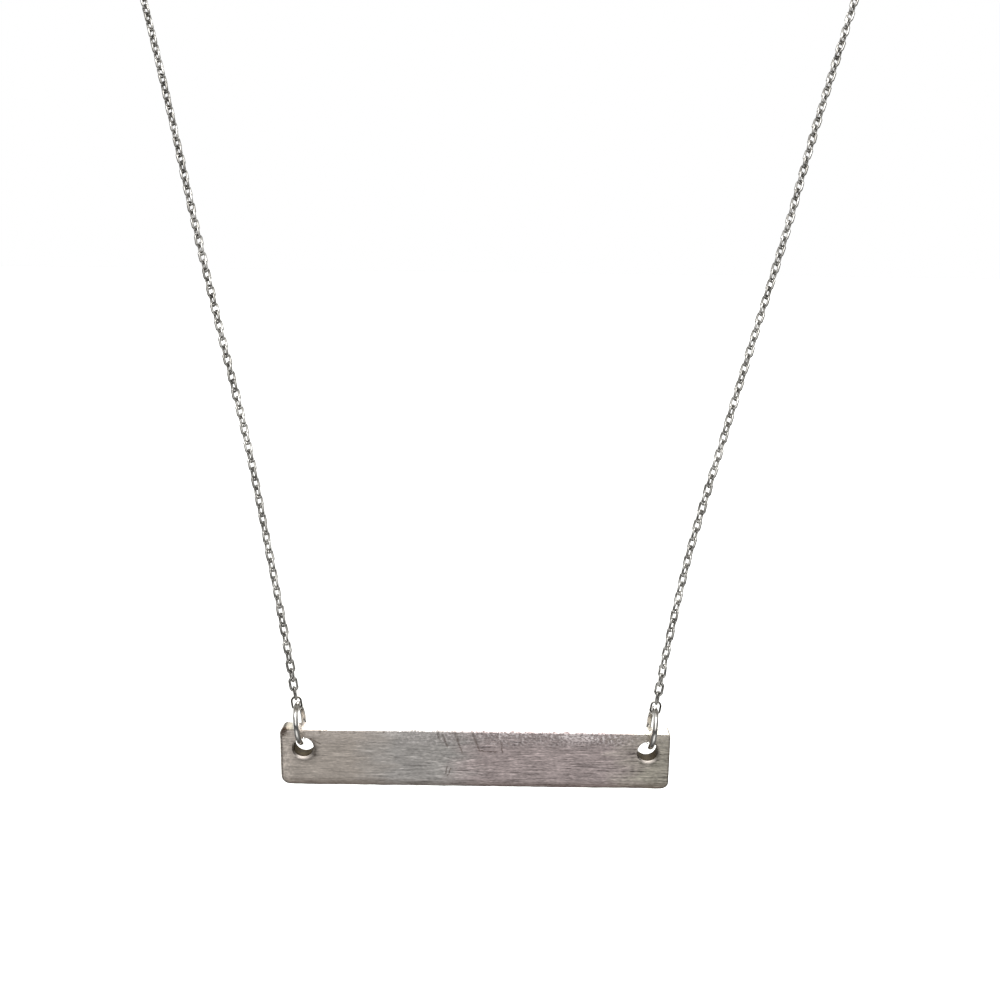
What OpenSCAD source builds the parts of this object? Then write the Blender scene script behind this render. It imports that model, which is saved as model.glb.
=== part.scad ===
// Bar pendant on a fine chain, in the form that it has when it is worn.
// Millimetres. +X is the viewer's right, -Y is the front and +Z is up.
// The origin is the middle of the neck, level with the chain at the nape.

/* [Bar] */
// Length of the bar
bar_w = 38; // [24:0.5:60]
// Height of the bar
bar_h = 5.75; // [4.5:0.05:12]
// Thickness of the bar
bar_t = 1.7; // [1:0.1:3]
// Radius of the four corners, seen from the front
corner_r = 0.7; // [0.4:0.1:2]
// Rounding of the long edges
edge_soft = 0.18; // [0.05:0.01:0.3]
// Diameter of the two holes
hole_d = 2; // [1.4:0.1:2.4]
// From the bar's end to the middle of the hole
hole_in = 2.15; // [1.8:0.05:6]
// From the bar's top edge to the middle of the hole
hole_down = 1.9; // [1.6:0.05:2.6]
// Bevel round the mouth of each hole
hole_bevel = 0.14; // [0.05:0.01:0.3]

/* [Jump rings] */
// Wire of the two rings that carry the bar
ring_wire = 0.56; // [0.4:0.02:0.7]
// Spare room in a ring round the metal above the hole
ring_slack = 1.24; // [0.3:0.02:1.8]
// How far each ring leans outward with the chain, in degrees
ring_lean = 7; // [0:1:12]
// How far each ring sits outward of its hole's middle
ring_out = 0.15; // [0:0.05:0.25]

/* [Chain] */
// Diameter of the fine chain over its links
chain_d = 0.94; // [0.7:0.02:1.6]
// Wire of one chain link
link_wire = 0.26; // [0.15:0.01:0.3]
// Wire of the four links at the chain's ends
end_wire = 0.2; // [0.15:0.01:0.3]
// Spare length in a link at the chain's end
end_slack = 0.12; // [0.1:0.02:0.6]
// How far the chain slants outward at the bar, in degrees
chain_out = 9.5; // [0:0.5:20]
// How far the chain slants back at the bar, in degrees
chain_back = 10; // [0:1:25]
// How far the chain runs straight on from each end link
chain_lead = 5; // [3:0.5:8]

/* [Clasp] */
// Diameter over the clasp's ring
clasp_od = 5.6; // [4.5:0.1:9]
// Wire of the clasp's ring
clasp_wire = 1; // [0.7:0.05:1.3]
// Diameter over the clasp's eye
eye_od = 2.2; // [1.9:0.1:3]
// Wire of the clasp's eye
eye_wire = 0.45; // [0.35:0.05:0.5]
// Diameter over the ring that hooks into the clasp
catch_od = 3; // [2.8:0.1:4]
// Wire of the ring that hooks into the clasp
catch_wire = 0.5; // [0.35:0.05:0.55]

/* [Wearing] */
// How far the bar hangs to the side of the neck's middle
bar_side = -1.4; // [-5:0.1:5]
// Running clearance between pieces that carry each other
play = 0.08; // [0.05:0.01:0.15]

/* [Hidden] */
// The chain's way round the right of the neck, from the bar to the nape, in hand-chosen points.
// Columns: distance from the neck's middle, depth, height, and share of bar_side that it keeps.
SIDE = 0;
DEPTH = 1;
HEIGHT = 2;
SHARE = 3;
ROUTE = [
    [20.6, -55.1, -100, 0.95],
    [23.4, -51.6, -90, 0.7],
    [26.6, -47.5, -80, 0.6],
    [29.8, -43.4, -70, 0.45],
    [32.9, -38.8, -60, 0.35],
    [36.2, -34.2, -50, 0.2],
    [39.7, -29.2, -40, 0.1],
    [43.4, -22.6, -30.5, 0],
    [47, -14, -21.5, 0],
    [49.8, -4, -13.5, 0],
    [50.5, 7, -7.8, 0],
    [48.4, 18, -4, 0],
    [43, 28.5, -1.6, 0],
    [34.5, 37.2, -0.4, 0],
    [25.5, 42.9, 0, 0],
    [17, 45.6, 0, 0]
];
// Where the middle of the bar's front face hangs, below and in front of the neck
bar_mid = [bar_side, -60, -120];
// Where the clasp lies at the nape
nape = [0, 46.5, 0];
// The tube's sides, and its rings in each span of the route
tube_sides = 8;
span_rings = 2;

// The metal above a hole, which each ring goes round
strip_h = hole_down - hole_d / 2;
ring_in = norm([bar_t, strip_h]) + ring_slack;
ring_od = ring_in + 2 * ring_wire;
// The metal hangs on the ring's inside: its lower edges touch but for the play
hang = sqrt(pow(ring_in / 2 - play, 2) - pow(bar_t / 2, 2));
hole_x = bar_w / 2 - hole_in;
hole_z = bar_h / 2 - hole_down;
// From the ring's middle up to the wire of the end link inside it
link_seat = (ring_od - ring_wire) / 2 - ring_wire / 2 - play - end_wire / 2;
ring_z = hole_z + hole_d / 2 + hang;
ring_x = hole_x + ring_out + (ring_od - ring_wire) / 2 * sin(ring_lean);

// The end links let the widest ring wire through
end_w = max(ring_wire, eye_wire, catch_wire) + 2 * play + 2 * end_wire;
end_l = ring_wire + link_wire + 2 * play + 2 * end_wire + end_slack;
// From an end link's first wire to its middle, and to where the chain's tube begins
to_mid = end_l / 2 - end_wire / 2;
to_tube = end_l - end_wire / 2 + play;

// Side is -1 for the left and 1 for the right, as the viewer sees them
function ring_mid(side) = bar_mid + [side * ring_x, bar_t / 2, ring_z];
function seat_mid(side) = ring_mid(side)
    + link_seat * [side * sin(ring_lean), 0, cos(ring_lean)];
function chain_way(side) = [
    side * sin(chain_out),
    cos(chain_out) * sin(chain_back),
    cos(chain_out) * cos(chain_back)
];

// Along X at the nape, from the clasp's middle
eye_x = -(clasp_od + eye_od) / 2 + eye_wire;
eye_seat = eye_x - (eye_od - eye_wire) / 2 + eye_wire / 2 + play + end_wire / 2;
catch_x = (clasp_od - clasp_wire) / 2 - clasp_wire / 2 - play - catch_wire / 2
    + (catch_od - catch_wire) / 2;
catch_seat = catch_x + (catch_od - catch_wire) / 2 - catch_wire / 2 - play - end_wire / 2;
function nape_seat(side) = side < 0 ? eye_seat : catch_seat;

// The tube runs from end link to end link, straight at first, then through the route's points
function bar_end(side, far) = seat_mid(side) + (to_tube + far) * chain_way(side);
function nape_end(side, far) = nape + [nape_seat(side) + side * (to_tube + far), 0, 0];
function route(side) = concat(
    [bar_end(side, 0), bar_end(side, chain_lead)],
    [for (p = ROUTE) [side * p[SIDE] + bar_side * p[SHARE], p[DEPTH], p[HEIGHT]]],
    [nape_end(side, chain_lead), nape_end(side, 0)]
);

function unit(v) = v / norm(v);
function point(pts, i) = pts[max(0, min(len(pts) - 1, i))];
// A smooth curve through the points, at place u between point i and the next
function curve(pts, i, u) = let (
    a = point(pts, i - 1),
    b = point(pts, i),
    c = point(pts, i + 1),
    d = point(pts, i + 2)
) 0.5 * (2 * b + (c - a) * u + (2 * a - 5 * b + 4 * c - d) * u * u
    + (3 * b - a - 3 * c + d) * u * u * u);
function path(pts) = concat(
    [for (i = [0 : len(pts) - 2], k = [0 : span_rings - 1]) curve(pts, i, k / span_rings)],
    [pts[len(pts) - 1]]
);
function ways(pts) = [
    for (i = [0 : len(pts) - 1]) unit(point(pts, i + 1) - point(pts, i - 1))
];
// Each ring's zero direction is carried on from the ring before
function carried(ways, i, last) = i == len(ways) ? [] : let (
    n = unit(last - (last * ways[i]) * ways[i])
) concat([n], carried(ways, i + 1, n));

module tube(pts, d) {
    way = ways(pts);
    zero = carried(way, 0, [0, -1, 0]);
    n = tube_sides;
    last = (len(pts) - 1) * n;
    rings = [
        for (i = [0 : len(pts) - 1], k = [0 : n - 1])
            let (a = 360 * k / n)
                pts[i] + d / 2 * (cos(a) * zero[i] + sin(a) * cross(way[i], zero[i]))
    ];
    walls = [
        for (i = [0 : len(pts) - 2], k = [0 : n - 1])
            let (a = i * n + k, b = i * n + (k + 1) % n)
                [a, a + n, b + n, b]
    ];
    caps = [
        [for (k = [0 : n - 1]) k],
        [for (k = [n - 1 : -1 : 0]) last + k]
    ];
    polyhedron(points = rings, faces = concat(walls, caps), convexity = 10);
}

// A wire ring round the Z axis
module wire_ring(od, wire) {
    rotate_extrude($fn = 64)
        translate([(od - wire) / 2, 0])
            circle(d = wire, $fn = 24);
}

// A long link, flat in the XZ plane, with its length along Z
module oval_link(l, w, wire) {
    bend = (w - wire) / 2;
    straight = l - w;
    for (end = [-1, 1])
        translate([0, 0, end * straight / 2])
            rotate([end * 90, 0, 0])
                rotate_extrude(angle = 180, $fn = 48)
                    translate([bend, 0])
                        circle(d = wire, $fn = 20);
    for (side = [-1, 1])
        translate([side * bend, 0, -straight / 2])
            cylinder(d = wire, h = straight, $fn = 20);
}

// Half of the section through a rounded corner of the bar
module corner_section() {
    flat = corner_r - edge_soft;
    square([flat, bar_t]);
    translate([0, edge_soft])
        square([corner_r, bar_t - 2 * edge_soft]);
    for (y = [edge_soft, bar_t - edge_soft])
        intersection() {
            translate([flat, y])
                circle(r = edge_soft, $fn = 24);
            square([corner_r, bar_t]);
        }
}

module bar() {
    color([0.61, 0.59, 0.57])
        translate(bar_mid)
            difference() {
                hull()
                    for (x = [-1, 1], z = [-1, 1])
                        translate([x * (bar_w / 2 - corner_r), 0, z * (bar_h / 2 - corner_r)])
                            rotate([-90, 0, 0])
                                rotate_extrude($fn = 32)
                                    corner_section();
                for (x = [-hole_x, hole_x])
                    translate([x, 0, hole_z])
                        rotate([-90, 0, 0])
                            hole();
            }
}

// A drilled hole along Z from the face at 0, with a bevel at each mouth
module hole() {
    translate([0, 0, -1])
        cylinder(d = hole_d, h = bar_t + 2, $fn = 48);
    cylinder(d1 = hole_d + 2 * hole_bevel, d2 = hole_d, h = hole_bevel, $fn = 48);
    translate([0, 0, bar_t - hole_bevel])
        cylinder(d1 = hole_d, d2 = hole_d + 2 * hole_bevel, h = hole_bevel, $fn = 48);
}

module jump_ring(side) {
    color([0.82, 0.82, 0.8])
        translate(ring_mid(side))
            rotate([0, 90 + side * ring_lean, 0])
                wire_ring(ring_od, ring_wire);
}

module ring_left() {
    jump_ring(-1);
}

module ring_right() {
    jump_ring(1);
}

// The chain's last link at the bar, which holds the jump ring
module front_link(side) {
    color([0.78, 0.78, 0.77])
        translate(seat_mid(side) + to_mid * chain_way(side))
            rotate([-chain_back, 0, 0])
                rotate([0, side * chain_out, 0])
                    oval_link(end_l, end_w, end_wire);
}

module end_link_left() {
    front_link(-1);
}

module end_link_right() {
    front_link(1);
}

module chain(side) {
    color([0.7, 0.7, 0.69])
        tube(path(route(side)), chain_d);
}

module chain_left() {
    chain(-1);
}

module chain_right() {
    chain(1);
}

// The chain's last link at the nape, turned by roll about its length
module nape_link(side, roll) {
    color([0.78, 0.78, 0.77])
        translate(nape + [nape_seat(side) + side * to_mid, 0, 0])
            rotate([roll, 0, 0])
                rotate([0, 90, 0])
                    oval_link(end_l, end_w, end_wire);
}

module back_link_left() {
    nape_link(-1, 90);
}

module back_link_right() {
    nape_link(1, 0);
}

// The ring on the chain's right end, hooked into the clasp
module catch_ring() {
    color([0.82, 0.82, 0.8])
        translate(nape + [catch_x, 0, 0])
            wire_ring(catch_od, catch_wire);
}

// A plain ring clasp with its soldered eye, upright at the nape
module clasp() {
    color([0.82, 0.82, 0.8])
        translate(nape)
            rotate([90, 0, 0]) {
                wire_ring(clasp_od, clasp_wire);
                translate([eye_x, 0, 0])
                    wire_ring(eye_od, eye_wire);
            }
}

bar();
ring_left();
ring_right();
end_link_left();
end_link_right();
chain_left();
chain_right();
back_link_left();
back_link_right();
catch_ring();
clasp();
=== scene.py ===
"""Looks of the bar pendant: a brushed silver bar on two jump rings and a fine cable chain.

Lengths are in metres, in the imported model's frame: +X is the viewer's right, -Y the front and
+Z up. The origin is the middle of the neck, level with the chain at the nape.
"""

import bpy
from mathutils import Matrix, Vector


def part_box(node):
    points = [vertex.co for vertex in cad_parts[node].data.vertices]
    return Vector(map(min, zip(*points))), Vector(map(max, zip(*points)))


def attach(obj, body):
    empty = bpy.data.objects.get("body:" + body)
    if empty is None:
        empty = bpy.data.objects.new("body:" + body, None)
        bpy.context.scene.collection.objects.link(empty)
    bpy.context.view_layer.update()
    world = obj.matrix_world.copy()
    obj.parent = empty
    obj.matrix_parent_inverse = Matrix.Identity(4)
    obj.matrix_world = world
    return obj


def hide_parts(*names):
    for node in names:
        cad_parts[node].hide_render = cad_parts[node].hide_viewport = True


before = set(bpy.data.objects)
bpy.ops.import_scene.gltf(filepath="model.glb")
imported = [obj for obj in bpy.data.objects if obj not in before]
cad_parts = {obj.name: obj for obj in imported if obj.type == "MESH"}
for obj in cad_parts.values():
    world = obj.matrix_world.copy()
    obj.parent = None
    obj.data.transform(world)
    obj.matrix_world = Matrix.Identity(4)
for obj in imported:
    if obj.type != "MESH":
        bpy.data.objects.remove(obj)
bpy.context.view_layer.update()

import math
import random
from functools import reduce

import bmesh
import bpy
from bpy.props import FloatProperty, FloatVectorProperty, IntProperty, PointerProperty
from bpy.types import Operator, Panel, PropertyGroup
from mathutils import Matrix, Vector, noise
from mathutils.geometry import delaunay_2d_cdt

bl_info = {
    "name": "Silver bar pendant",
    "version": (1, 0, 0),
    "blender": (4, 5, 0),
    "location": "View3D > Sidebar > Pendant",
    "description": "Dresses a bar pendant and its chain in worn sterling silver",
    "category": "Object",
}

MM = 0.001
SIDES = (-1, 1)
RINGS = {-1: "ring_left", 1: "ring_right"}
END_LINKS = {-1: "end_link_left", 1: "end_link_right"}
BACK_LINKS = {-1: "back_link_left", 1: "back_link_right"}


def linear(code):
    """Turns an sRGB hex value into a linear colour."""
    parts = [int(code[i:i + 2], 16) / 255 for i in (1, 3, 5)]
    return [c / 12.92 if c <= 0.04045 else ((c + 0.055) / 1.055) ** 2.4 for c in parts]


def node_size(name):
    """Width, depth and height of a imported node."""
    low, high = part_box(name)
    return high - low


def node_middle(name):
    """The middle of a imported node's box."""
    low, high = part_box(name)
    return (low + high) / 2


BAR_LOW, BAR_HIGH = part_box("bar")
BAR_SIZE = node_size("bar")
# The middle of the bar's front face
BAR_FACE = Vector(((BAR_LOW.x + BAR_HIGH.x) / 2, BAR_LOW.y, (BAR_LOW.z + BAR_HIGH.z) / 2))
BAR_SIDE = BAR_FACE.x
# A jump ring stands edge-on to the front, so its depth is its diameter
RING_OD = node_size("ring_left").y


def length_setting(name, description, default):
    """A length that the user can change."""
    return FloatProperty(name=name, description=description, default=default,
                         unit="LENGTH", subtype="DISTANCE")


def angle_setting(name, description, degrees):
    """An angle that the user can change."""
    return FloatProperty(name=name, description=description, default=math.radians(degrees),
                         unit="ROTATION", subtype="ANGLE")


def colour_setting(name, description, code):
    """A colour that the user can change, from its sRGB hex value."""
    return FloatVectorProperty(name=name, description=description, default=linear(code),
                               size=3, subtype="COLOR", min=0, max=1)


class BarSizes(PropertyGroup):
    length: length_setting("Length", "Length of the bar", BAR_SIZE.x)
    height: length_setting("Height", "Height of the bar", BAR_SIZE.z)
    thickness: length_setting("Thickness", "Thickness of the bar", BAR_SIZE.y)
    top_left: length_setting("Top left corner", "Radius of the top left corner", 0.55 * MM)
    top_right: length_setting("Top right corner", "Radius of the top right corner", 0.3 * MM)
    bottom: length_setting("Bottom corners", "Radius of the two bottom corners", 0.75 * MM)
    edge: length_setting("Edge", "Rounding of the filed edges", 0.16 * MM)
    hole: length_setting("Hole", "Diameter of the two holes", 2 * MM)
    hole_in: length_setting(
        "Hole from end", "From the bar's end to the middle of a hole", 2.15 * MM)
    hole_down: length_setting(
        "Hole from top", "From the bar's top to the middle of a hole", 1.9 * MM)
    countersink: length_setting(
        "Countersink", "Width of the bevel at a hole's mouth", 0.18 * MM)
    seed: IntProperty(
        name="Seed", description="Seed of the bar's small unevenness", default=7)


class ChainSizes(PropertyGroup):
    link_length: length_setting("Link length", "Length over one link", 1.49 * MM)
    link_width: length_setting("Link width", "Width over one link", 0.94 * MM)
    wire: length_setting("Wire", "Wire of one link, over its corners", 0.28 * MM)
    pitch: length_setting("Pitch", "From one link's middle to the next", 0.909 * MM)
    seed: IntProperty(name="Seed", description="Seed of the links' small turns", default=3)


class WireSizes(PropertyGroup):
    ring_wire: length_setting("Ring wire", "Wire of the two jump rings", 0.56 * MM)
    ring_gap: length_setting("Ring joint", "Gap where a jump ring's ends meet", 0.05 * MM)
    ring_lean: angle_setting("Ring lean", "How far each jump ring leans outward", 7)
    end_wire: length_setting(
        "End wire", "Wire of the four links at the chain's ends", 0.2 * MM)


class SilverColours(PropertyGroup):
    warm: colour_setting("Warm silver", "Silver at the bar's left end", "#B7AEA5")
    cool: colour_setting("Cool silver", "Silver left of the bar's middle", "#B1ADA9")
    rosy: colour_setting("Rosy silver", "Silver at the bar's middle and right", "#B1A4A2")
    olive: colour_setting("Olive silver", "Silver at the bar's right end", "#AEA89C")
    tarnish: colour_setting(
        "Tarnish", "Brown tarnish at a corner, and dirt in the scratches", "#503E31")
    drilled: colour_setting("Drilled silver", "Dark oxide and painted shade on the walls of the holes", "#352A16")
    polished: colour_setting("Polished silver", "Bright silver of the rings and links", "#E4E2DD")


class StudioSettings(PropertyGroup):
    lens: FloatProperty(
        name="Lens", description="Focal length on a 36 mm wide sensor", default=41.4)
    tilt: angle_setting("Tilt", "How far the camera looks down", 14.4)
    roll: angle_setting("Roll", "How far the camera turns about its view", 0.75)
    camera_from_bar: FloatVectorProperty(
        name="Camera place", description="From the middle of the bar's face to the camera",
        size=3, unit="LENGTH", subtype="XYZ", precision=5,
        default=(2.07 * MM, -102.73 * MM, 52.6 * MM))
    floor_drop: length_setting("Floor", "How far the floor lies below the neck", 0.42)
    floor_start: length_setting("Floor start", "How far behind the neck the floor starts", 0.2)
    floor_colour: colour_setting("Floor colour", "Pale paper of the floor", "#F6F6F4")
    back_light: FloatProperty(
        name="Back light", description="Strength of the soft light behind", default=2.4, min=0)
    top_light: FloatProperty(
        name="Top light", description="Strength of the soft light above", default=1.2, min=0)


# Kinds of node that are used often. A RANGE maps its first input from the range of the next
# two to that of the last two, and stops at its ends. A MARK reads what a mesh carries by name.
MATH = "ShaderNodeMath"
VECTOR = "ShaderNodeVectorMath"
RANGE = "ShaderNodeMapRange"
AXES = "ShaderNodeSeparateXYZ"
NOISE = "ShaderNodeTexNoise"
RAMP = "ShaderNodeValToRGB"
MARK = "GeometryNodeInputNamedAttribute"


def add(tree, kind, inputs=(), **settings):
    """Adds a node to a tree with its settings, and with values or links for its inputs.

    The inputs are listed in order, or by name or number in a dictionary. A link comes from
    another node's socket, or from a node, whose first output it takes.
    """
    made = tree.nodes.new(kind)
    for key, value in settings.items():
        setattr(made, key, value)
    given = inputs if isinstance(inputs, dict) else dict(enumerate(inputs))
    for key, value in given.items():
        socket = made.inputs[key]
        if isinstance(value, bpy.types.Node):
            value = value.outputs[0]
        if isinstance(value, bpy.types.NodeSocket):
            tree.links.new(value, socket)
        elif socket.type == "RGBA":
            socket.default_value = (*value[:3], 1)
        else:
            socket.default_value = value
    return made


def product(tree, *values):
    """The product of some numbers."""
    return reduce(lambda a, b: add(tree, MATH, (a, b), operation="MULTIPLY"), values)


def total(tree, *values):
    """The sum of some numbers."""
    return reduce(lambda a, b: add(tree, MATH, (a, b), operation="ADD"), values)


def strongest(tree, *values):
    """The largest of some numbers."""
    return reduce(lambda a, b: add(tree, MATH, (a, b), operation="MAXIMUM"), values)


def coated(tree, base, *coats):
    """Lays colours over a base colour, one by one. Columns: share and colour."""
    for share, colour in coats:
        base = add(tree, "ShaderNodeMix", {
            "Factor": share, 6: base, 7: colour}, data_type="RGBA").outputs[2]
    return base


def with_stops(ramp, stops):
    """Gives a colour ramp its stops. Columns: position and colour."""
    elements = ramp.color_ramp.elements
    while len(elements) < len(stops):
        elements.new(1)
    for element, (at, colour) in zip(elements, stops):
        element.position = at
        element.color = (*colour, 1)
    return ramp


def stretched_noise(tree, place, length, height, detail):
    """Noise drawn out along X. A grain's length and height are in millimetres."""
    drawn = add(tree, "ShaderNodeMapping", {
        "Vector": place, "Scale": (1 / length, 1 / length, 1 / height)})
    return add(tree, NOISE, {"Vector": drawn, "Scale": 1, "Detail": detail, "Roughness": 0.55})


def named_sockets(tree, way, *rows):
    """Gives a tree its inputs or outputs. Columns: name and kind."""
    for name, kind in rows:
        tree.interface.new_socket(name=name, in_out=way, socket_type="NodeSocket" + kind)


def new_material(name):
    """An empty node material and its tree."""
    material = bpy.data.materials.new(name)
    material.use_nodes = True
    material.node_tree.nodes.clear()
    return material, material.node_tree


def surfaced(material, inputs):
    """The material, once its tree ends in one surface with the inputs given."""
    tree = material.node_tree
    shader = add(tree, "ShaderNodeBsdfPrincipled", inputs)
    add(tree, "ShaderNodeOutputMaterial", {"Surface": shader})
    return material


# Scratches and pits on the bar's face, in millimetres from its middle. Columns: start X and Z,
# end X and Z, and width.
SCRATCHES = (
    (-3.72, 3.00, -3.57, 2.15, 0.50),
    (-3.22, 2.50, -2.77, 1.30, 0.36),
    (-2.07, 3.10, -1.75, 1.95, 0.52),
    (-1.75, 1.95, -1.27, 0.60, 0.36),
    (-0.42, 3.10, 0.05, 1.75, 0.48),
    (0.05, 1.75, 0.38, 0.90, 0.30),
    (0.38, 0.90, 2.10, 0.78, 0.24),
    (2.48, 1.80, 2.63, 0.65, 0.26),
    (-2.77, -0.85, -2.92, -1.55, 0.28),
    (-2.42, -1.05, -2.72, -1.80, 0.28),
    (-15.20, 2.75, -15.15, 2.65, 0.42),
    (-8.95, 2.85, -8.95, 2.75, 0.36),
    (0.93, 3.00, 0.93, 2.90, 0.36),
    (3.70, 3.00, 3.70, 2.90, 0.36),
    (-16.10, 1.95, -15.20, 1.45, 0.26),
    (-15.65, 0.85, -15.75, 0.15, 0.26),
)
# Other places on the face, in the same measure: the middle of the painted glints on the burrs,
# the tarnished corner and the right hole's mouth
BURR_GLINT_PLACE = (10, 0, 2.8)
TARNISHED_CORNER = (-19, 0, 2.75)
HOLE_MOUTH = (16.85, 0, 0.9)


def scratch_group():
    """A node group that is 1 along one straight scratch and 0 away from it."""
    tree = bpy.data.node_groups.new("Scratch", "ShaderNodeTree")
    named_sockets(tree, "INPUT", ("Place", "Vector"), ("Start", "Vector"), ("End", "Vector"),
                  ("Width", "Float"))
    named_sockets(tree, "OUTPUT", ("Scratch", "Float"))
    given = add(tree, "NodeGroupInput").outputs
    way = add(tree, VECTOR, (given["End"], given["Start"]), operation="SUBTRACT")
    off = add(tree, VECTOR, (given["Place"], given["Start"]), operation="SUBTRACT")
    reach, whole = (
        add(tree, VECTOR, (one, way), operation="DOT_PRODUCT").outputs["Value"]
        for one in (off, way))
    share = add(tree, MATH, (reach, whole), operation="DIVIDE", use_clamp=True)
    foot = add(tree, VECTOR, {0: way, "Scale": share}, operation="SCALE")
    gap = add(tree, VECTOR, (off, foot), operation="DISTANCE").outputs["Value"]
    mark = add(tree, RANGE, (gap, product(tree, given["Width"], 0.5), 0, 0, 1),
               interpolation_type="SMOOTHSTEP")
    add(tree, "NodeGroupOutput", {"Scratch": mark})
    return tree


def scratches(tree, place):
    """The strongest of all the scratches at a place on the bar's face."""
    group = scratch_group()
    return strongest(tree, *(
        add(tree, "ShaderNodeGroup", {
            "Place": place, "Start": (x0, 0, z0), "End": (x1, 0, z1), "Width": width},
            node_tree=group)
        for x0, z0, x1, z1, width in SCRATCHES))


def hue_along_bar(tree, axes, cloud, colours):
    """The silver's hue, which drifts from warm at the left end to olive at the right."""
    drift = add(tree, MATH, (cloud, 6, axes["X"]), operation="MULTIPLY_ADD")
    ramp = add(tree, RAMP, (add(tree, RANGE, (drift, -16, 22, 0, 1)),))
    return with_stops(ramp, (
        (0, colours.warm), (0.18, colours.warm), (0.3, colours.cool), (0.42, colours.cool),
        (0.52, colours.rosy), (0.84, colours.rosy), (0.95, colours.olive)))


def stroke_tone(tree, place, axes, layers):
    """How light the silver is, about 1. Columns of the layers: noise and depth.

    Each layer of strokes lightens or darkens it, more on the right than on the left, where
    the end is blotched.
    """
    swing = total(
        tree, *(add(tree, RANGE, (layer, 0.25, 0.75, -depth, depth)) for layer, depth in layers),
        add(tree, RANGE, (stretched_noise(tree, place, 1.1, 0.12, 1), 0.6, 0.72, 0, 0.8)),
        add(tree, RANGE, (stretched_noise(tree, place, 2.8, 0.15, 1), 0.6, 0.72, 0, -0.45)))
    left_end = add(tree, RANGE, (axes["X"], -18.7, -17.6, 1, 0))
    blotch = stretched_noise(tree, place, 0.35, 0.3, 2)
    return total(
        tree, add(tree, RANGE, (axes["Z"], 1.6, 2.8, 1, 1.4)),
        product(tree, swing, add(tree, RANGE, (axes["X"], -9, -1, 0.6, 1)),
                add(tree, RANGE, (left_end, 0, 1, 1, 0.4))),
        product(tree, left_end, add(tree, RANGE, (blotch, 0.4, 0.66, -0.05, 0.7))))


def top_burrs(tree, place, axes, cloud, speck, front):
    """Light and dark burrs where the top edge was filed, thickest right of the middle. The light
    burrs carry painted glints, strongest in one patch.
    """
    filed = product(
        tree, front, add(tree, RANGE, (axes["Z"], 1.1, 2.5, 0, 1)),
        add(tree, RANGE, (axes["X"], -9, 3, 0.25, 1)),
        add(tree, RANGE, (axes["X"], 12, 16, 1, 0.3)),
        add(tree, RANGE, (cloud, 0.4, 0.58, 0.45, 1)))
    # Painted glints: the burrs are painted lightest round one patch near the top edge
    away = add(tree, VECTOR, (place, BURR_GLINT_PLACE), operation="DISTANCE").outputs["Value"]
    bright = add(tree, RANGE, (away, 0.8, 2.2, 0.09, 0))
    ridge = total(tree, speck, bright)
    light = product(tree, filed, add(tree, RANGE, (ridge, 0.48, 0.57, 0, 1)))
    dark = product(tree, filed, add(tree, RANGE, (ridge, 0.45, 0.36, 0, 0.9)))
    return light, dark


def cut_lines(tree, place, axes, flat, speck):
    """The scratches and pits, which waver a little and break off here and there."""
    waver = add(tree, NOISE, {"Vector": place, "Scale": 3, "Detail": 3}).outputs["Color"]
    wobble = add(tree, VECTOR, (waver, (0.5, 0.5, 0.5)), operation="SUBTRACT")
    bent = add(tree, VECTOR, (wobble, (0.3, 0, 0.3), flat), operation="MULTIPLY_ADD")
    return product(tree, scratches(tree, bent), add(tree, RANGE, (axes["Y"], 0.4, 0.7, 1, 0)),
                   add(tree, RANGE, (speck, 0.4, 0.55, 0.4, 1)))


def corner_tarnish(tree, axes, flat, speck):
    """Brown tarnish round the top left corner, and the top face beside it darker: a film, and
    painted shade of the left jump ring.
    """
    away = add(tree, VECTOR, (flat, TARNISHED_CORNER), operation="DISTANCE").outputs["Value"]
    ragged = add(tree, MATH, (speck, 1.2, away), operation="MULTIPLY_ADD")
    stain = product(tree, add(tree, RANGE, (ragged, 0.95, 1.6, 0.8, 0)),
                    add(tree, RANGE, (axes["Y"], 0.3, 0.8, 1, 0.15)))
    # The top face by the left jump ring is painted darker: a film, and painted shade of the ring
    film = product(tree, add(tree, RANGE, (axes["Z"], 2.76, 2.87, 0, 1)),
                   add(tree, RANGE, (axes["X"], -17.6, -16.9, 0.97, 0)))
    return stain, film


def lip_highlights(tree, axes, front):
    """A painted highlight on the lower lip of each hole."""
    mirrored = add(tree, "ShaderNodeCombineXYZ", {
        "X": add(tree, MATH, (axes["X"],), operation="ABSOLUTE"), "Z": axes["Z"]})
    from_hole = add(tree, VECTOR, (mirrored, HOLE_MOUTH), operation="DISTANCE").outputs["Value"]
    return product(tree, front, add(tree, RANGE, (from_hole, 1.12, 1.22, 0.9, 0)),
                   add(tree, RANGE, (axes["Z"], 0, 0.35, 1, 0)))


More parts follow.
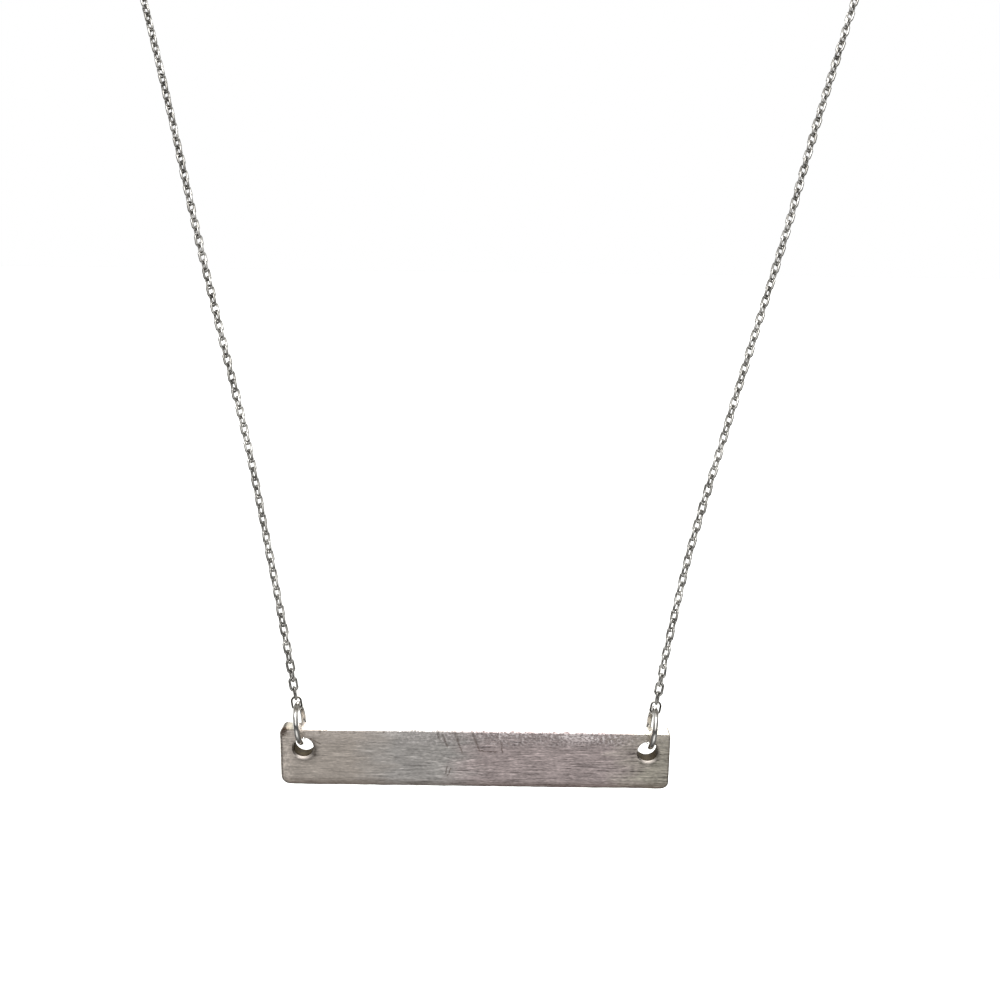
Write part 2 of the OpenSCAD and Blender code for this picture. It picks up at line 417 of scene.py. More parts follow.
def brushed_silver(colours):
    """Sterling silver, hand-brushed along the bar with coarse paper and left to tarnish.

    The strokes give short light and dark streaks along X, the tarnish slow changes of hue,
    and the filed top edge a band of small burrs. The finest strokes are drawn 0.12 mm high,
    coarser than real ones, so that they show.
    """
    material, tree = new_material("brushed sterling silver")
    place = add(tree, "ShaderNodeMapping", {
        "Vector": add(tree, "ShaderNodeTexCoord").outputs["Object"],
        "Location": tuple(-BAR_FACE / MM), "Scale": (1 / MM, 1 / MM, 1 / MM)})
    axes = add(tree, AXES, (place,)).outputs
    flat = add(tree, VECTOR, (place, (1, 0, 1)), operation="MULTIPLY")
    grain = stretched_noise(tree, place, 0.4, 0.13, 1)
    strokes = stretched_noise(tree, place, 2.4, 0.17, 3)
    cloud = stretched_noise(tree, place, 4, 1.3, 2)
    speck = stretched_noise(tree, place, 0.28, 0.2, 4)
    front = add(tree, RANGE, (axes["Y"], 0.15, 0.3, 1, 0))

    tone = stroke_tone(tree, place, axes, ((grain, 0.3), (strokes, 0.4), (cloud, 0.16)))
    hue = hue_along_bar(tree, axes, cloud, colours)
    silver = add(tree, VECTOR, {0: hue, "Scale": tone}, operation="SCALE")
    glinting_burr, dark_burr = top_burrs(tree, place, axes, cloud, speck, front)
    # Painted glints: the light burrs are painted near white
    silver = coated(tree, silver, (glinting_burr, linear("#FFF6F5")))

    # Dirt in the scratches and between the burrs; painted shade along the lower edge and at the
    # right end
    cut = cut_lines(tree, place, axes, flat, speck)
    dirt = strongest(
        tree, cut, dark_burr,
        # Painted shade along the lower edge
        product(tree, front, add(tree, RANGE, (axes["Z"], -2.1, -2.75, 0, 0.85))),
        # Painted shade at the right end
        add(tree, RANGE, (axes["X"], 18.72, 18.9, 0, 0.6)))
    silver = coated(tree, silver, (product(tree, dirt, 0.66), colours.tarnish))

    stain, film = corner_tarnish(tree, axes, flat, speck)
    silver = coated(
        # A film with painted shade of the left jump ring on the top face, then the brown tarnish
        # at the corner
        tree, silver, (film, linear("#4B4639")), (stain, colours.tarnish),
        # Painted highlight on the lower lip of each hole
        (lip_highlights(tree, axes, front), linear("#FFF4EA")))

    height = total(
        tree, grain, strokes, product(tree, cut, -1.4), product(tree, glinting_burr, 8),
        product(tree, dark_burr, -4))
    bump = add(tree, "ShaderNodeBump", {
        "Height": height, "Strength": 0.35, "Distance": 0.02 * MM})
    return surfaced(material, {
        "Base Color": silver, "Metallic": 1, "Normal": bump,
        "Roughness": strongest(tree, add(tree, RANGE, (strokes, 0.3, 0.7, 0.48, 0.36)), stain)})


def drilled_oxide_and_shade(colours):
    """Silver left as drilled and never polished, with little gloss. Its dark colour is oxide and
    painted shade of the hole's inside.
    """
    material, tree = new_material("oxidised drilled silver with painted shade")
    place = add(tree, "ShaderNodeTexCoord").outputs["Object"]
    film = add(tree, NOISE, {"Vector": place, "Scale": 1 / (0.5 * MM), "Detail": 3})
    colour = coated(
        tree, colours.drilled, (add(tree, RANGE, (film, 0.35, 0.65, 0, 1)), linear("#4A3E24")))
    return surfaced(material, {
        "Base Color": colour, "Metallic": 0.3, "Roughness": 0.7, "Specular IOR Level": 0.1})


def polished_silver(colours):
    """Sterling wire, drawn and tumbled bright: it mirrors the room, with faint hairlines.

    A thin dirt film darkens it at random. Where the jump rings hang in the chain's end links,
    both are painted darker, a painted shade where they hide each other from the light.
    """
    material, tree = new_material("polished sterling silver")
    place = add(tree, "ShaderNodeTexCoord").outputs["Object"]
    film = add(tree, NOISE, {"Vector": place, "Scale": 1 / (0.6 * MM), "Detail": 3})
    up = add(tree, AXES, (place,)).outputs["Z"]
    rise = add(tree, MATH, (up, node_middle("ring_left").z), operation="SUBTRACT")
    # Painted shade where the jump rings and end links hide each other
    at_hook = product(tree, add(tree, RANGE, (rise, 1.55 * MM, 1.85 * MM, 0, 1)),
                      add(tree, RANGE, (rise, 3.2 * MM, 3.6 * MM, 1, 0)))
    grime_and_shade = strongest(
        tree, add(tree, RANGE, (film, 0.5, 0.75, 0, 0.25)),
        product(tree, at_hook, add(tree, RANGE, (film, 0.35, 0.55, 0.5, 0.9))))
    hairlines = add(tree, NOISE, {"Vector": place, "Scale": 1 / (0.1 * MM), "Detail": 2})
    bump = add(tree, "ShaderNodeBump", {
        "Height": hairlines, "Strength": 0.12, "Distance": 0.01 * MM})
    return surfaced(material, {
        "Base Color": coated(tree, colours.polished, (grime_and_shade, linear("#575147"))),
        "Metallic": 1, "Roughness": add(tree, RANGE, (film, 0.35, 0.65, 0.1, 0.22)),
        "Normal": bump})


def satin_silver(colours):
    """Fine sterling links, worn to a satin: each mirrors a blur, some duller than others.

    Each link's upper end is painted darker, a painted shade where the next link hides it from the
    light, and the links higher up are darker than those by the bar.
    """
    material, tree = new_material("satin sterling silver")
    tone, height = (
        add(tree, "ShaderNodeAttribute", attribute_name=name).outputs["Fac"]
        for name in ("link_tone", "link_height"))
    up = add(tree, AXES, (add(tree, "ShaderNodeTexCoord").outputs["Object"],)).outputs["Z"]
    up_chain = add(tree, RANGE, (up, -100 * MM, -65 * MM, 0, 1))
    worn = total(tree, add(tree, RANGE, (tone, 0, 1, 0, 0.7)), product(tree, up_chain, 0.3))
    colour = coated(tree, colours.polished, (worn, linear("#8F8C86")))
    # Painted shade in each link's upper end
    upper_end_shade = product(tree, add(tree, RANGE, (height, 0.18, 0.42, 0, 1)),
                   add(tree, RANGE, (tone, 0, 1, 0.6, 0.95)),
                   add(tree, RANGE, (up_chain, 0, 1, 0.75, 1)))
    return surfaced(material, {
        "Base Color": coated(tree, colour, (upper_end_shade, linear("#403D38"))), "Metallic": 1,
        "Roughness": add(tree, RANGE, (tone, 0, 1, 0.12, 0.28))})


def plain_paper(colour):
    """Matt white paper: it scatters light evenly and has no gloss."""
    material, tree = new_material("matt white paper")
    place = add(tree, "ShaderNodeTexCoord").outputs["Object"]
    pulp = add(tree, NOISE, {"Vector": place, "Scale": 1 / (4 * MM), "Detail": 3})
    fibres = add(tree, RANGE, (pulp, 0.3, 0.7, 0, 0.02))
    return surfaced(material, {
        "Base Color": coated(tree, colour, (fibres, linear("#EDEDEA"))),
        "Roughness": 0.9, "Specular IOR Level": 0.1})


def silver(name):
    """One of the silver finishes, made when it is first asked for."""
    makers = {
        "brushed sterling silver": brushed_silver,
        "oxidised drilled silver with painted shade": drilled_oxide_and_shade,
        "polished sterling silver": polished_silver,
        "satin sterling silver": satin_silver,
    }
    return bpy.data.materials.get(name) or makers[name](bpy.context.scene.pendant.colours)


def link_object(name, data):
    """Puts a mesh, a camera or a lamp into the scene as a new object."""
    made = bpy.data.objects.new(name, data)
    bpy.context.scene.collection.objects.link(made)
    return made


def rounded_outline(half_w, half_h, radii, steps, bend_steps):
    """Points and outward directions round a rectangle, clockwise from the top left corner.

    radii are those of the top left, top right, bottom right and bottom left corners.
    """
    corners = ((-1, 1), (1, 1), (1, -1), (-1, -1))
    middles = [Vector((x * (half_w - r), z * (half_h - r))) for (x, z), r in zip(corners, radii)]
    quarter = math.radians(90)
    found = []
    for i, (middle, r) in enumerate(zip(middles, radii)):
        for k in range(bend_steps + 1):
            a = math.radians(180 - 90 * i) - quarter * k / bend_steps
            out = Vector((math.cos(a), math.sin(a)))
            found.append((middle + r * out, out))
        start = found[-1][0]
        after = (i + 1) % 4
        stop = middles[after] + radii[after] * out
        count = max(2, round((stop - start).length / steps[i]))
        found += [(start.lerp(stop, k / count), out) for k in range(1, count)]
    return found


def ease(value, low, high):
    """0 at low, 1 at high and straight between."""
    return min(1, max(0, (value - low) / (high - low)))


# How the bar's mesh is drawn: points round a hole, turns of its rounded edges in degrees, and
# the grid of its faces in millimetres, with how loose the grid is and the seed of that
HOLE_POINTS = 56
RIM_TURNS = (0, 22.5, 45, 67.5, 90)
GRID = 0.3
GRID_PLAY = 0.25
GRID_SEED = 11
# The bevel at the back of a hole, and how far its front mouth is worn right and down
BACK_BEVEL = 0.1
MOUTH_WEAR = 0.08


class BarShape:
    """The hand-filed bar, in millimetres from the middle of its front face.

    Columns of each loop: X, depth and Z.
    """

    def __init__(self, sizes):
        self.half_w = sizes.length / 2 / MM
        self.half_h = sizes.height / 2 / MM
        self.depth = sizes.thickness / MM
        self.edge = sizes.edge / MM
        self.hole_r = sizes.hole / 2 / MM
        self.sink = sizes.countersink / MM
        self.seed = Vector((sizes.seed * 3.1, sizes.seed * 1.7, 0))
        hole_x = self.half_w - sizes.hole_in / MM
        hole_z = self.half_h - sizes.hole_down / MM
        self.holes = [Vector((side * hole_x, hole_z)) for side in SIDES]
        radii = [r / MM for r in (sizes.top_left, sizes.top_right, sizes.bottom, sizes.bottom)]
        self.outline = rounded_outline(
            self.half_w, self.half_h, radii, steps=(0.12, 0.2, 0.25, 0.2), bend_steps=8)
        self.mesh = bmesh.new()

    def waver(self, x, z, grain):
        """Smooth noise from about -1 to 1, with bumps of one grain's size."""
        return noise.noise(Vector((x / grain, z / grain, 0)) + self.seed)

    def filed(self, point):
        """1 where the top edge was filed, right of the left hole, and 0 elsewhere."""
        return ease(point.y, self.half_h - 0.4, self.half_h - 0.2) \
            * ease(point.x, -10, -7) * ease(point.x, 15, 12)

    def rounding(self, point, back):
        """How far the edge is rounded here: more at the left end, uneven and chipped in front."""
        left = max(0, 1 - (point.x + self.half_w) / 1.5)
        uneven = 1 + 0.45 * self.waver(point.x, point.y, 0.9)
        crisp = 0.45 if point.y > self.half_h - 0.2 else 1
        chip = 0 if back else 0.09 + 0.7 * max(0, self.waver(point.x + 60, point.y, 0.35))
        return self.edge * uneven * crisp * (1 + 0.9 * left) + chip * self.filed(point)

    def nick(self, point):
        """How far the filed edge dips inward here, or bows outward where it is negative."""
        burr = 0.5 + 0.5 * self.waver(point.x + 40, point.y, 0.34)
        slow = self.waver(point.x - 30, point.y, 3)
        from_left = point.x + self.half_w
        filed = self.filed(point)
        bulge = 0.1 + 0.05 * (1 - (point.y / self.half_h) ** 2)
        bow = max(bulge * ease(from_left, 0.9, 0.3),
                  0.1 * ease(point.y + self.half_h, 0.8, 0.2), 0.11 * filed)
        return (0.01 + 0.14 * filed) * burr + 0.02 * slow - bow

    def dip(self, x, z):
        """Depth of the face's slow waves, none at its rim."""
        rim = min(self.half_w - abs(x), self.half_h - abs(z))
        fade = min(1, max(0, rim / 0.8))
        wave = 0.5 + 0.5 * self.waver(x * 0.4, z, 1.1)
        dish = 0
        for hole in self.holes:
            away = (Vector((x, z)) - hole).length - self.hole_r
            dish += max(0, 1 - away / 0.8) ** 2
        return fade * 0.02 * wave + 0.03 * min(1, dish)

    def loop(self, places):
        return [self.mesh.verts.new(p) for p in places]

    def bridge(self, first, second, material=0):
        """Joins two loops with quads."""
        ahead = [loop[1:] + loop[:1] for loop in (first, second)]
        for corners in zip(first, *ahead, second):
            self.mesh.faces.new(corners).material_index = material

    def rim_places(self, turn, back):
        """The outline's loop at a turn of the rounded edge, from 0 on the face to 90 degrees."""
        places = []
        for point, out in self.outline:
            r = self.rounding(point, back)
            keep = r * (1 - math.sin(math.radians(turn))) + self.nick(point)
            deep = r * (1 - math.cos(math.radians(turn)))
            at = point - keep * out
            places.append((at.x, self.depth - deep if back else deep, at.y))
        return places

    def ring(self, hole, radius, deep, shift=0):
        """A loop round a hole. The shift moves it right and down."""
        x, z = hole.x + shift, hole.y - shift
        turns = [math.tau * k / HOLE_POINTS for k in range(HOLE_POINTS)]
        return self.loop([
            (x + radius * math.cos(a), deep, z + radius * math.sin(a)) for a in turns])

    def fill(self, rim, mouths, back):
        """Fills a face between its rim and the holes' mouths, with a loose grid inside."""
        loops = [rim] + mouths
        known = [v for loop in loops for v in loop]
        edges = []
        start = 0
        for loop in loops:
            n = len(loop)
            edges += [(start + i, start + (i + 1) % n) for i in range(n)]
            start += n
        # Every mouth is a circle, so its middle and radius say which triangles lie in it
        middles = [sum((v.co.xz for v in loop), Vector((0, 0))) / len(loop) for loop in mouths]
        mouth_r = (mouths[0][0].co.xz - middles[0]).length
        draw = random.Random(GRID_SEED + back)
        inside = []
        for i in range(1, int(2 * self.half_w / GRID)):
            for j in range(1, int(2 * self.half_h / GRID)):
                x = -self.half_w + (i + draw.uniform(-GRID_PLAY, GRID_PLAY)) * GRID
                z = -self.half_h + (j + draw.uniform(-GRID_PLAY, GRID_PLAY)) * GRID
                rim_gap = min(self.half_w - abs(x), self.half_h - abs(z))
                mouth_gap = min((Vector((x, z)) - m).length for m in middles) - mouth_r
                if rim_gap > 0.5 and mouth_gap > 0.25:
                    inside.append(Vector((x, z)))
        made, _, triangles, sources, *_ = delaunay_2d_cdt(
            [v.co.xz for v in known] + inside, edges, [], 0, 1e-6)
        verts = []
        for place, source in zip(made, sources):
            old = [s for s in source if s < len(known)]
            if old:
                verts.append(known[old[0]])
                continue
            deep = self.dip(place.x, place.y) * (0.4 if back else 1)
            y = self.depth - deep if back else deep
            verts.append(self.mesh.verts.new((place.x, y, place.y)))
        for triangle in triangles:
            middle = sum((made[i] for i in triangle), Vector((0, 0))) / 3
            if all((middle - m).length > 0.997 * mouth_r for m in middles):
                self.mesh.faces.new([verts[i] for i in triangle])

    def build(self):
        """Makes the whole bar and returns its bmesh, with the holes' walls marked 1."""
        front, rear = (
            [self.loop(self.rim_places(turn, back)) for turn in RIM_TURNS]
            for back in (False, True))
        for rim in (front, rear):
            for a, b in zip(rim, rim[1:]):
                self.bridge(a, b)
        self.bridge(front[-1], rear[-1])
        front_mouths, back_mouths = [], []
        for hole in self.holes:
            mouth = self.ring(hole, self.hole_r + self.sink, 0.01, MOUTH_WEAR)
            throat = self.ring(hole, self.hole_r, 0.9 * self.sink)
            end = self.ring(hole, self.hole_r, self.depth - BACK_BEVEL)
            back_mouth = self.ring(hole, self.hole_r + BACK_BEVEL, self.depth - 0.01)
            self.bridge(mouth, throat)
            self.bridge(throat, end, material=1)
            self.bridge(end, back_mouth)
            front_mouths.append(mouth)
            back_mouths.append(back_mouth)
        self.fill(front[0], front_mouths, False)
        self.fill(rear[0], back_mouths, True)
        bmesh.ops.remove_doubles(self.mesh, verts=self.mesh.verts[:], dist=1e-5)
        bmesh.ops.recalc_face_normals(self.mesh, faces=self.mesh.faces[:])
        return self.mesh


class PENDANT_OT_bar(Operator):
    """Makes the brushed silver bar with its two drilled holes"""

    bl_idname = "pendant.bar"
    bl_label = "Bar"
    bl_options = {"REGISTER", "UNDO"}

    def execute(self, context):
        shape = BarShape(context.scene.pendant.bar).build()
        mesh = bpy.data.meshes.new("bar_silver")
        shape.to_mesh(mesh)
        shape.free()
        mesh.transform(Matrix.Translation(BAR_FACE) @ Matrix.Scale(MM, 4))
        mesh.materials.append(silver("brushed sterling silver"))
        mesh.materials.append(silver("oxidised drilled silver with painted shade"))
        mesh.shade_smooth()
        mesh.set_sharp_from_angle(angle=math.radians(40))
        bar = link_object("bar_silver", mesh)
        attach(bar, "bar")
        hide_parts("bar")
        return {"FINISHED"}


def new_tree(name, sizes, seeded=False):
    """A Geometry Nodes tree with named sizes and a material as its inputs."""
    tree = bpy.data.node_groups.new(name, "GeometryNodeTree")
    seed = [("Seed", "Int")] if seeded else []
    named_sockets(tree, "INPUT", ("Geometry", "Geometry"),
                  *((size, "Float") for size in sizes), *seed, ("Material", "Material"))
    named_sockets(tree, "OUTPUT", ("Geometry", "Geometry"))
    return tree


def end_tree(tree, given, pieces):
    """Ends a tree: its pieces become one mesh and get their material."""
    real = add(tree, "GeometryNodeRealizeInstances", {"Geometry": pieces})
    dressed = add(tree, "GeometryNodeSetMaterial", {
        "Geometry": real, "Material": given["Material"]})
    add(tree, "NodeGroupOutput", {"Geometry": dressed})


def run_tree(name, host, tree, values):
    """Runs a tree on a host mesh and returns the result as a plain new object."""
    source = link_object(name + "_source", host)
    modifier = source.modifiers.new(tree.name, "NODES")
    modifier.node_group = tree
    for item in tree.interface.items_tree:
        if item.in_out == "INPUT" and item.name in values:
            modifier[item.identifier] = values[item.name]
    depsgraph = bpy.context.evaluated_depsgraph_get()
    mesh = bpy.data.meshes.new_from_object(
        source.evaluated_get(depsgraph), preserve_all_data_layers=True, depsgraph=depsgraph)
    source.modifiers.remove(modifier)
    bpy.data.objects.remove(source)
    if not mesh.polygons:
        raise RuntimeError(f"{name}: the tree {tree.name} made no faces")
    mesh.name = name
    return link_object(name, mesh)


def round_wire(tree, curve, wire, sides, cut_ends=False):
    """Round wire along a curve, with flat ends where it is cut. Returns its mesh."""
    section = add(tree, "GeometryNodeCurvePrimitiveCircle", {
        "Resolution": sides, "Radius": product(tree, wire, 0.5)}, mode="RADIUS")
    body = add(tree, "GeometryNodeCurveToMesh", {
        "Curve": curve, "Profile Curve": section, "Fill Caps": cut_ends})
    return add(tree, "GeometryNodeSetShadeSmooth", {"Geometry": body, "Shade Smooth": True})


def oval_link(tree, given, bends, wire_sides):
    """A link in the XY plane with its length along Y. Returns its mesh.

    A circle whose points lie off the X axis is split into two ends and drawn apart.
    """
    width, wire = given["Link width"], given["Wire"]
    across = add(tree, MATH, (width, wire), operation="SUBTRACT")
    circle = add(tree, "GeometryNodeCurvePrimitiveCircle", {
        "Resolution": bends,
        "Radius": product(tree, across, 0.5 / math.cos(math.pi / bends))}, mode="RADIUS")
    turned = add(tree, "GeometryNodeTransform", {
        "Geometry": circle, "Rotation": (0, 0, math.pi / bends)})
    longer = add(tree, MATH, (given["Link length"], width), operation="SUBTRACT")
    up = add(tree, AXES, (add(tree, "GeometryNodeInputPosition"),)).outputs["Y"]
    which_end = add(tree, MATH, (up,), operation="SIGN")
    shift = add(tree, "ShaderNodeCombineXYZ", {
        "Y": product(tree, which_end, product(tree, longer, 0.5))})
    oval = add(tree, "GeometryNodeSetPosition", {"Geometry": turned, "Offset": shift})
    return round_wire(tree, oval, wire, wire_sides)


def link_places(tree, given, side):
    """The links' places along the route.

    There is an even number of steps on the left and an odd one on the right, so that the last
    link stands across the link at the nape, as the first does at the bar.
    """
    wire = add(tree, "GeometryNodeMeshToCurve", {"Mesh": given["Geometry"]})
    smooth = add(tree, "GeometryNodeCurveSplineType", (wire,), spline_type="CATMULL_ROM")
    dense = add(tree, "GeometryNodeSetSplineResolution", {"Geometry": smooth, "Resolution": 32})
    length = add(tree, "GeometryNodeSplineLength").outputs["Length"]
    odd = add(tree, MATH, (side, 0), operation="GREATER_THAN")
    steps = add(tree, MATH, (length, given["Pitch"]), operation="DIVIDE")
    even = add(tree, MATH, (steps, odd), operation="SUBTRACT")
    pairs = add(tree, MATH, (product(tree, even, 0.5),), operation="ROUND")
    count = add(tree, MATH, (pairs, 2, total(tree, odd, 1)), operation="MULTIPLY_ADD")
    return add(
        tree, "GeometryNodeResampleCurve", {"Curve": dense, "Count": count}, mode="COUNT")


def link_turning(tree, given, turn):
    """How each link stands: out of the neck but for its turn, and across the one before."""
    place = add(tree, "GeometryNodeInputPosition")
    outward = add(tree, VECTOR, (place, (1, 1, 0)), operation="MULTIPLY")
    stand = add(tree, "FunctionNodeAxesToRotation", {
        "Primary Axis": add(tree, "GeometryNodeInputTangent"), "Secondary Axis": outward},
        primary_axis="Y", secondary_axis="Z")
    index = add(tree, "GeometryNodeSplineParameter").outputs["Index"]
    crossed = add(tree, MATH, (total(tree, index, 1), 2), operation="MODULO")
    angle = add(tree, MATH, (crossed, math.pi / 2, turn), operation="MULTIPLY_ADD")
    roll = add(tree, "FunctionNodeAxisAngleToRotation", {"Axis": (0, 1, 0), "Angle": angle})
    rolled = add(tree, "FunctionNodeRotateRotation", (stand, roll), rotation_space="LOCAL")
    loose = math.radians(3)
    play = add(tree, "FunctionNodeRandomValue", {
        0: (-loose, -2 * loose, -loose), 1: (loose, 2 * loose, loose),
        "Seed": given["Seed"]}, data_type="FLOAT_VECTOR")
    loosened = add(tree, "FunctionNodeEulerToRotation", (play,))
    return add(tree, "FunctionNodeRotateRotation", (rolled, loosened), rotation_space="LOCAL")


def chain_tree():
    """Links along the route, each a quarter turn from the one before."""
    tree = new_tree("Cable chain", ("Link length", "Link width", "Wire", "Pitch"), seeded=True)
    given = add(tree, "NodeGroupInput").outputs
    side, turn = (add(tree, MARK, (name,), data_type="FLOAT") for name in ("side", "turn"))
    # How far up the link each point lies, for the painted shade in its upper end
    up = add(tree, AXES, (add(tree, "GeometryNodeInputPosition"),)).outputs["Y"]
    height = add(tree, MATH, (up, given["Link length"]), operation="DIVIDE")
    link = add(tree, "GeometryNodeStoreNamedAttribute", {
        "Geometry": oval_link(tree, given, 12, 5), "Name": "link_height", "Value": height},
        data_type="FLOAT", domain="POINT")
    strung = add(tree, "GeometryNodeInstanceOnPoints", {
        "Points": link_places(tree, given, side), "Instance": link,
        "Rotation": link_turning(tree, given, turn)})
    tone = add(tree, "FunctionNodeRandomValue", {
        2: 0.0, 3: 1.0, "Seed": given["Seed"]}, data_type="FLOAT").outputs[1]
    toned = add(tree, "GeometryNodeStoreNamedAttribute", {
        "Geometry": strung, "Name": "link_tone", "Value": tone},
        data_type="FLOAT", domain="INSTANCE")
    end_tree(tree, given, toned)
    return tree


# The chain's way round the neck, from the bar to the nape, in metres. Columns: distance from
# the neck's middle, depth, height, share of the bar's side shift, and how many degrees the
# links of the left and of the right side turn inward from facing straight out.
ROUTE = (
    (0.0206, -0.0551, -0.1, 0.95, 72, 66),
    (0.0234, -0.0516, -0.09, 0.7, 72, 66),
    (0.0266, -0.0475, -0.08, 0.6, 74, 70),
    (0.0298, -0.0434, -0.07, 0.45, 80, 75),
    (0.0329, -0.0388, -0.06, 0.35, 91, 80),
    (0.0362, -0.0342, -0.05, 0.2, 102, 86),
    (0.0397, -0.0292, -0.04, 0.1, 112, 92),
    (0.0434, -0.0226, -0.0305, 0, 112, 92),
    (0.047, -0.014, -0.0215, 0, 108, 91),
    (0.0498, -0.004, -0.0135, 0, 104, 90),
    (0.0505, 0.007, -0.0078, 0, 100, 90),
    (0.0484, 0.018, -0.004, 0, 97, 90),
    (0.043, 0.0285, -0.0016, 0, 95, 90),
    (0.0345, 0.0372, -0.0004, 0, 93, 90),
    (0.0255, 0.0429, 0, 0, 91, 90),
    (0.017, 0.0456, 0, 0, 90, 90),
)
# The links' turns at the two ends of each straight run, at the bar and at the nape
BAR_TURNS = {-1: (42, 64), 1: (38, 60)}
NAPE_TURN = 90
# How far the chain slants outward and back at the bar, and runs straight on from each end
CHAIN_OUT = math.radians(9.5)
CHAIN_BACK = math.radians(10)
CHAIN_LEAD = 5 * MM


def chain_way(side):
    """The chain's direction where it leaves the jump ring."""
    return Vector((side * math.sin(CHAIN_OUT),
                   math.cos(CHAIN_OUT) * math.sin(CHAIN_BACK),
                   math.cos(CHAIN_OUT) * math.cos(CHAIN_BACK)))


def end_reach(sizes, end_wire):
    """From an end link's middle to the middle of the first link that it holds."""
    end_length = node_size("back_link_right").x
    return (end_length - end_wire) / 2 - (end_wire + sizes.wire) / 2 \
        + (sizes.link_length - sizes.wire) / 2


def link_turns(side):
    """The links' turns at each point of the route, in radians about the chain."""
    column = 4 if side < 0 else 5
    turns = [*BAR_TURNS[side], *(row[column] for row in ROUTE), NAPE_TURN, NAPE_TURN]
    return [-side * math.radians(turn) for turn in turns]


def chain_route(side, sizes, end_wire):
    """The points from the first link's middle to the last one's."""
    reach = end_reach(sizes, end_wire)
    bar_end = node_middle(END_LINKS[side])
    nape_end = node_middle(BACK_LINKS[side])
    way = chain_way(side)
    back = Vector((side, 0, 0))
    points = [bar_end + reach * way, bar_end + (reach + CHAIN_LEAD) * way]
    points += [Vector((side * x + BAR_SIDE * share, y, z)) for x, y, z, share, *_ in ROUTE]
    points += [nape_end + (reach + CHAIN_LEAD) * back, nape_end + reach * back]
    return points


class PENDANT_OT_chain(Operator):
    """Strings both sides of the fine chain, link through link"""

    bl_idname = "pendant.chain"
    bl_label = "Chain"
    bl_options = {"REGISTER", "UNDO"}

    def execute(self, context):
        pendant = context.scene.pendant
        sizes = pendant.chain
        host = bpy.data.meshes.new("chain_route")
        points, edges, sides, turns = [], [], [], []
        for side in SIDES:
            route = chain_route(side, sizes, pendant.wires.end_wire)
            first = len(points)
            points += route
            sides += [side] * len(route)
            turns += link_turns(side)
            edges += [(first + i, first + i + 1) for i in range(len(route) - 1)]
        host.from_pydata(points, edges, [])
        for name, values in (("side", sides), ("turn", turns)):
            marks = host.attributes.new(name, "FLOAT", "POINT")
            marks.data.foreach_set("value", values)
        chain = run_tree("fine_chain", host, chain_tree(), {
            "Link length": sizes.link_length, "Link width": sizes.link_width,
            "Wire": sizes.wire, "Pitch": sizes.pitch, "Seed": sizes.seed,
            "Material": silver("satin sterling silver")})
        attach(chain, "necklace")
        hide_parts("chain_left", "chain_right")
        return {"FINISHED"}


def posed_points(name, rows):
    """A mesh of bare points. Columns: place, main direction and second direction."""
    host = bpy.data.meshes.new(name)
    host.from_pydata([row[0] for row in rows], [], [])
    for label, column in (("main", 1), ("second", 2)):
        marks = host.attributes.new(label, "FLOAT_VECTOR", "POINT")
        marks.data.foreach_set("vector", [c for row in rows for c in row[column]])
    return host


def stand_on_points(tree, given, piece, main_axis, second_axis):
    """Stands a piece on each point, turned to the point's two directions, and ends the tree."""
    main, second = (
        add(tree, MARK, (name,), data_type="FLOAT_VECTOR") for name in ("main", "second"))
    turned = add(tree, "FunctionNodeAxesToRotation", {
        "Primary Axis": main, "Secondary Axis": second},
        primary_axis=main_axis, secondary_axis=second_axis)
    set_out = add(tree, "GeometryNodeInstanceOnPoints", {
        "Points": given["Geometry"], "Instance": piece, "Rotation": turned})
    end_tree(tree, given, set_out)


def end_link_tree():
    """The plain round-wire links at the chain's ends."""
    tree = new_tree("End links", ("Link length", "Link width", "Wire"))
    given = add(tree, "NodeGroupInput").outputs
    stand_on_points(tree, given, oval_link(tree, given, 28, 12), "Y", "Z")
    return tree


class PENDANT_OT_end_links(Operator):
    """Makes the four links that end the chain at the bar and at the nape"""

    bl_idname = "pendant.end_links"
    bl_label = "End links"
    bl_options = {"REGISTER", "UNDO"}

    def execute(self, context):
        back = node_size("back_link_right")
        rows = []
        for side in SIDES:
            faces = Vector((0, -1, 0))
            rows.append((node_middle(END_LINKS[side]), chain_way(side), faces))
            flat = Vector((0, 0, 1)) if side < 0 else faces
            rows.append((node_middle(BACK_LINKS[side]), Vector((side, 0, 0)), flat))
        links = run_tree("end_links", posed_points("end_link_places", rows), end_link_tree(), {
            "Link length": back.x, "Link width": back.z,
            "Wire": context.scene.pendant.wires.end_wire,
            "Material": silver("polished sterling silver")})
        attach(links, "necklace")
        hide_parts(*END_LINKS.values(), *BACK_LINKS.values())
        return {"FINISHED"}


def jump_ring_tree():
    """Open rings of round wire whose cut ends almost meet."""
    tree = new_tree("Jump rings", ("Outside diameter", "Wire", "Joint"))
    given = add(tree, "NodeGroupInput").outputs
    wire = given["Wire"]
    across = add(tree, MATH, (given["Outside diameter"], wire), operation="SUBTRACT")
    radius = product(tree, across, 0.5)
    open_angle = add(tree, MATH, (given["Joint"], radius), operation="DIVIDE")
    sweep = add(tree, MATH, (math.tau, open_angle), operation="SUBTRACT")
    arc = add(tree, "GeometryNodeCurveArc", {
        "Resolution": 96, "Radius": radius, "Start Angle": product(tree, open_angle, 0.5),
        "Sweep Angle": sweep}, mode="RADIUS")
    ring = round_wire(tree, arc, wire, 20, cut_ends=True)
    stand_on_points(tree, given, ring, "Z", "X")
    return tree


